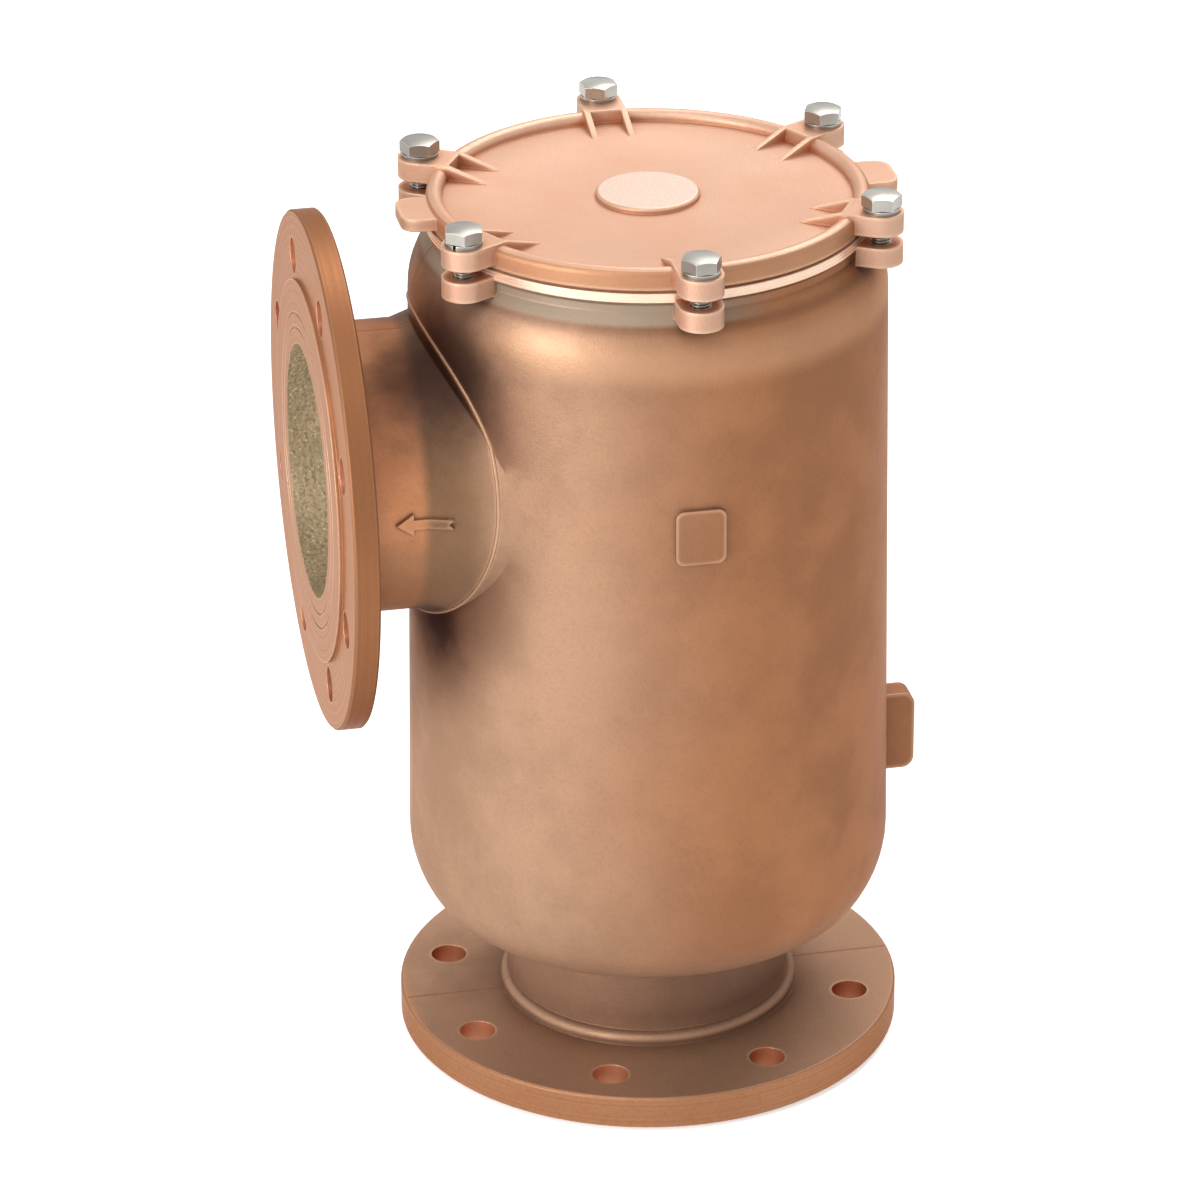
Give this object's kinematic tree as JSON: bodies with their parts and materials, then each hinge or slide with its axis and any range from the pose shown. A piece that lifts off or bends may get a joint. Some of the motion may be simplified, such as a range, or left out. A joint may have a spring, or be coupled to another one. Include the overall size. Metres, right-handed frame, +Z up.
{
  "type": "sea water strainer",
  "caption": "Bronze angle strainer: a tall round body with a flange below, a flanged side nozzle, a bolted lift-off cover and a perforated basket inside.",
  "frame": {"origin": "centre of the inlet flange's raised face, which the strainer stands on", "axes": "+Z up the body's axis towards the cover; -X along the outlet nozzle, out of its flange"},
  "size_m": [0.3075, 0.2556, 0.465],
  "materials": {
    "cast_bronze": "sandblasted satin casting",
    "cover_bronze": "cleaned warm satin casting",
    "gasket_rubber": "matte black sheet",
    "basket_steel": "pickled stainless sheet",
    "bolt_steel": "bright stainless",
    "washer_steel": "bright spring steel"
  },
  "bodies": {
    "strainer": {"body_casting": "cast_bronze", "cover_gasket": "gasket_rubber", "basket_screen": "basket_steel", "basket_top_ring": "basket_steel", "basket_floor": "basket_steel", "basket_standpipe": "basket_steel", "basket_handle": "basket_steel"},
    "cover": {"cover": "cover_bronze"},
    "bolt_1": {"cover_bolt_1": "bolt_steel", "lock_washer_1": "washer_steel"},
    "bolt_2": {"cover_bolt_2": "bolt_steel", "lock_washer_2": "washer_steel"},
    "bolt_3": {"cover_bolt_3": "bolt_steel", "lock_washer_3": "washer_steel"},
    "bolt_4": {"cover_bolt_4": "bolt_steel", "lock_washer_4": "washer_steel"},
    "bolt_5": {"cover_bolt_5": "bolt_steel", "lock_washer_5": "washer_steel"},
    "bolt_6": {"cover_bolt_6": "bolt_steel", "lock_washer_6": "washer_steel"}
  },
  "joints": [
    {"name": "cover_lift", "type": "slide", "parent": "strainer", "child": "cover", "axis": [0, 0, 1], "range_m": [0, 0.3]},
    {"name": "bolt_1_unscrew", "type": "slide", "parent": "cover", "child": "bolt_1", "axis": [0, 0, 1], "range_m": [0, 0.035]},
    {"name": "bolt_2_unscrew", "type": "slide", "parent": "cover", "child": "bolt_2", "axis": [0, 0, 1], "range_m": [0, 0.035]},
    {"name": "bolt_3_unscrew", "type": "slide", "parent": "cover", "child": "bolt_3", "axis": [0, 0, 1], "range_m": [0, 0.035]},
    {"name": "bolt_4_unscrew", "type": "slide", "parent": "cover", "child": "bolt_4", "axis": [0, 0, 1], "range_m": [0, 0.035]},
    {"name": "bolt_5_unscrew", "type": "slide", "parent": "cover", "child": "bolt_5", "axis": [0, 0, 1], "range_m": [0, 0.035]},
    {"name": "bolt_6_unscrew", "type": "slide", "parent": "cover", "child": "bolt_6", "axis": [0, 0, 1], "range_m": [0, 0.035]}
  ]
}
